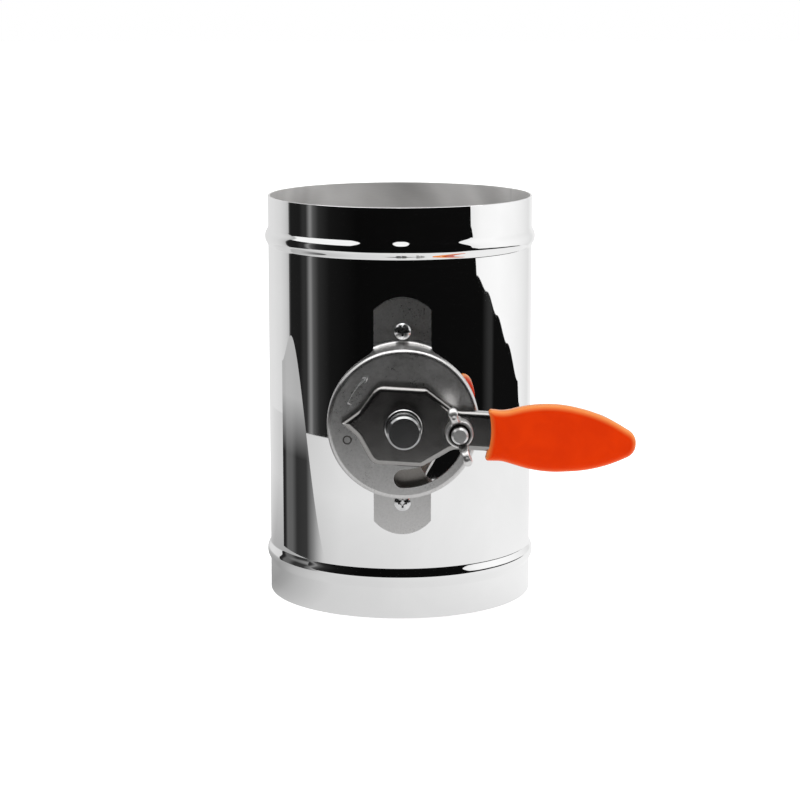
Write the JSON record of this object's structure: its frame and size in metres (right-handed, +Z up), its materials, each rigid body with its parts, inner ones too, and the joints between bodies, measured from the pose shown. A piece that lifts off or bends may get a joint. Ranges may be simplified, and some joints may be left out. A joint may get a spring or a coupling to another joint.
{
  "type": "manual duct damper",
  "caption": "Round sheet-metal duct section with a butterfly blade, turned by an outside lever and locked on a slotted quadrant by a wing nut.",
  "frame": {"origin": "centre of the lower rim, on the duct's axis", "axes": "+Z up along the duct, -Y towards the quadrant and lever, +X towards the grip"},
  "size_m": [0.1343, 0.142, 0.152],
  "materials": {
    "polished_steel": "mirror polished stainless sheet",
    "satin_steel": "satin stainless sheet",
    "pressed_steel": "pressed stainless sheet, tumbled",
    "turned_steel": "turned stainless bar",
    "plated_steel": "bright zinc plate",
    "cast_nickel": "nickel plated casting",
    "bush_bronze": "sintered bronze",
    "spring_steel": "blackened spring steel",
    "black_fibre": "hard fibre",
    "orange_vinyl": "dipped soft vinyl, satin"
  },
  "bodies": {
    "duct": {"duct_shell": "polished_steel", "quadrant_plate": "satin_steel", "bearing_strap": "satin_steel", "upper_strap_screw": "plated_steel", "lower_strap_screw": "plated_steel", "upper_strap_nut": "plated_steel", "lower_strap_nut": "plated_steel", "front_bush": "bush_bronze", "rear_bush": "bush_bronze"},
    "spindle": {"shaft": "turned_steel", "blade": "satin_steel", "front_blade_screw": "plated_steel", "rear_blade_screw": "plated_steel", "front_blade_washer": "plated_steel", "rear_blade_washer": "plated_steel", "rear_washer": "plated_steel", "rear_clip": "spring_steel", "lever_washer": "black_fibre", "lever_plate": "pressed_steel", "lever_grip": "orange_vinyl", "lock_bolt": "turned_steel"},
    "lock_nut": {"wing_nut": "cast_nickel"}
  },
  "joints": [
    {"name": "blade_turn", "type": "hinge", "parent": "duct", "child": "spindle", "pos_m": [0, 0, 0.076], "axis": [0, 1, 0], "range_deg": [-3.7, 86.3]},
    {"name": "wing_nut_turn", "type": "hinge", "parent": "spindle", "child": "lock_nut", "pos_m": [0.01966, -0.0705, 0.07473], "axis": [0, 1, 0], "range_deg": [-450, 0]}
  ]
}
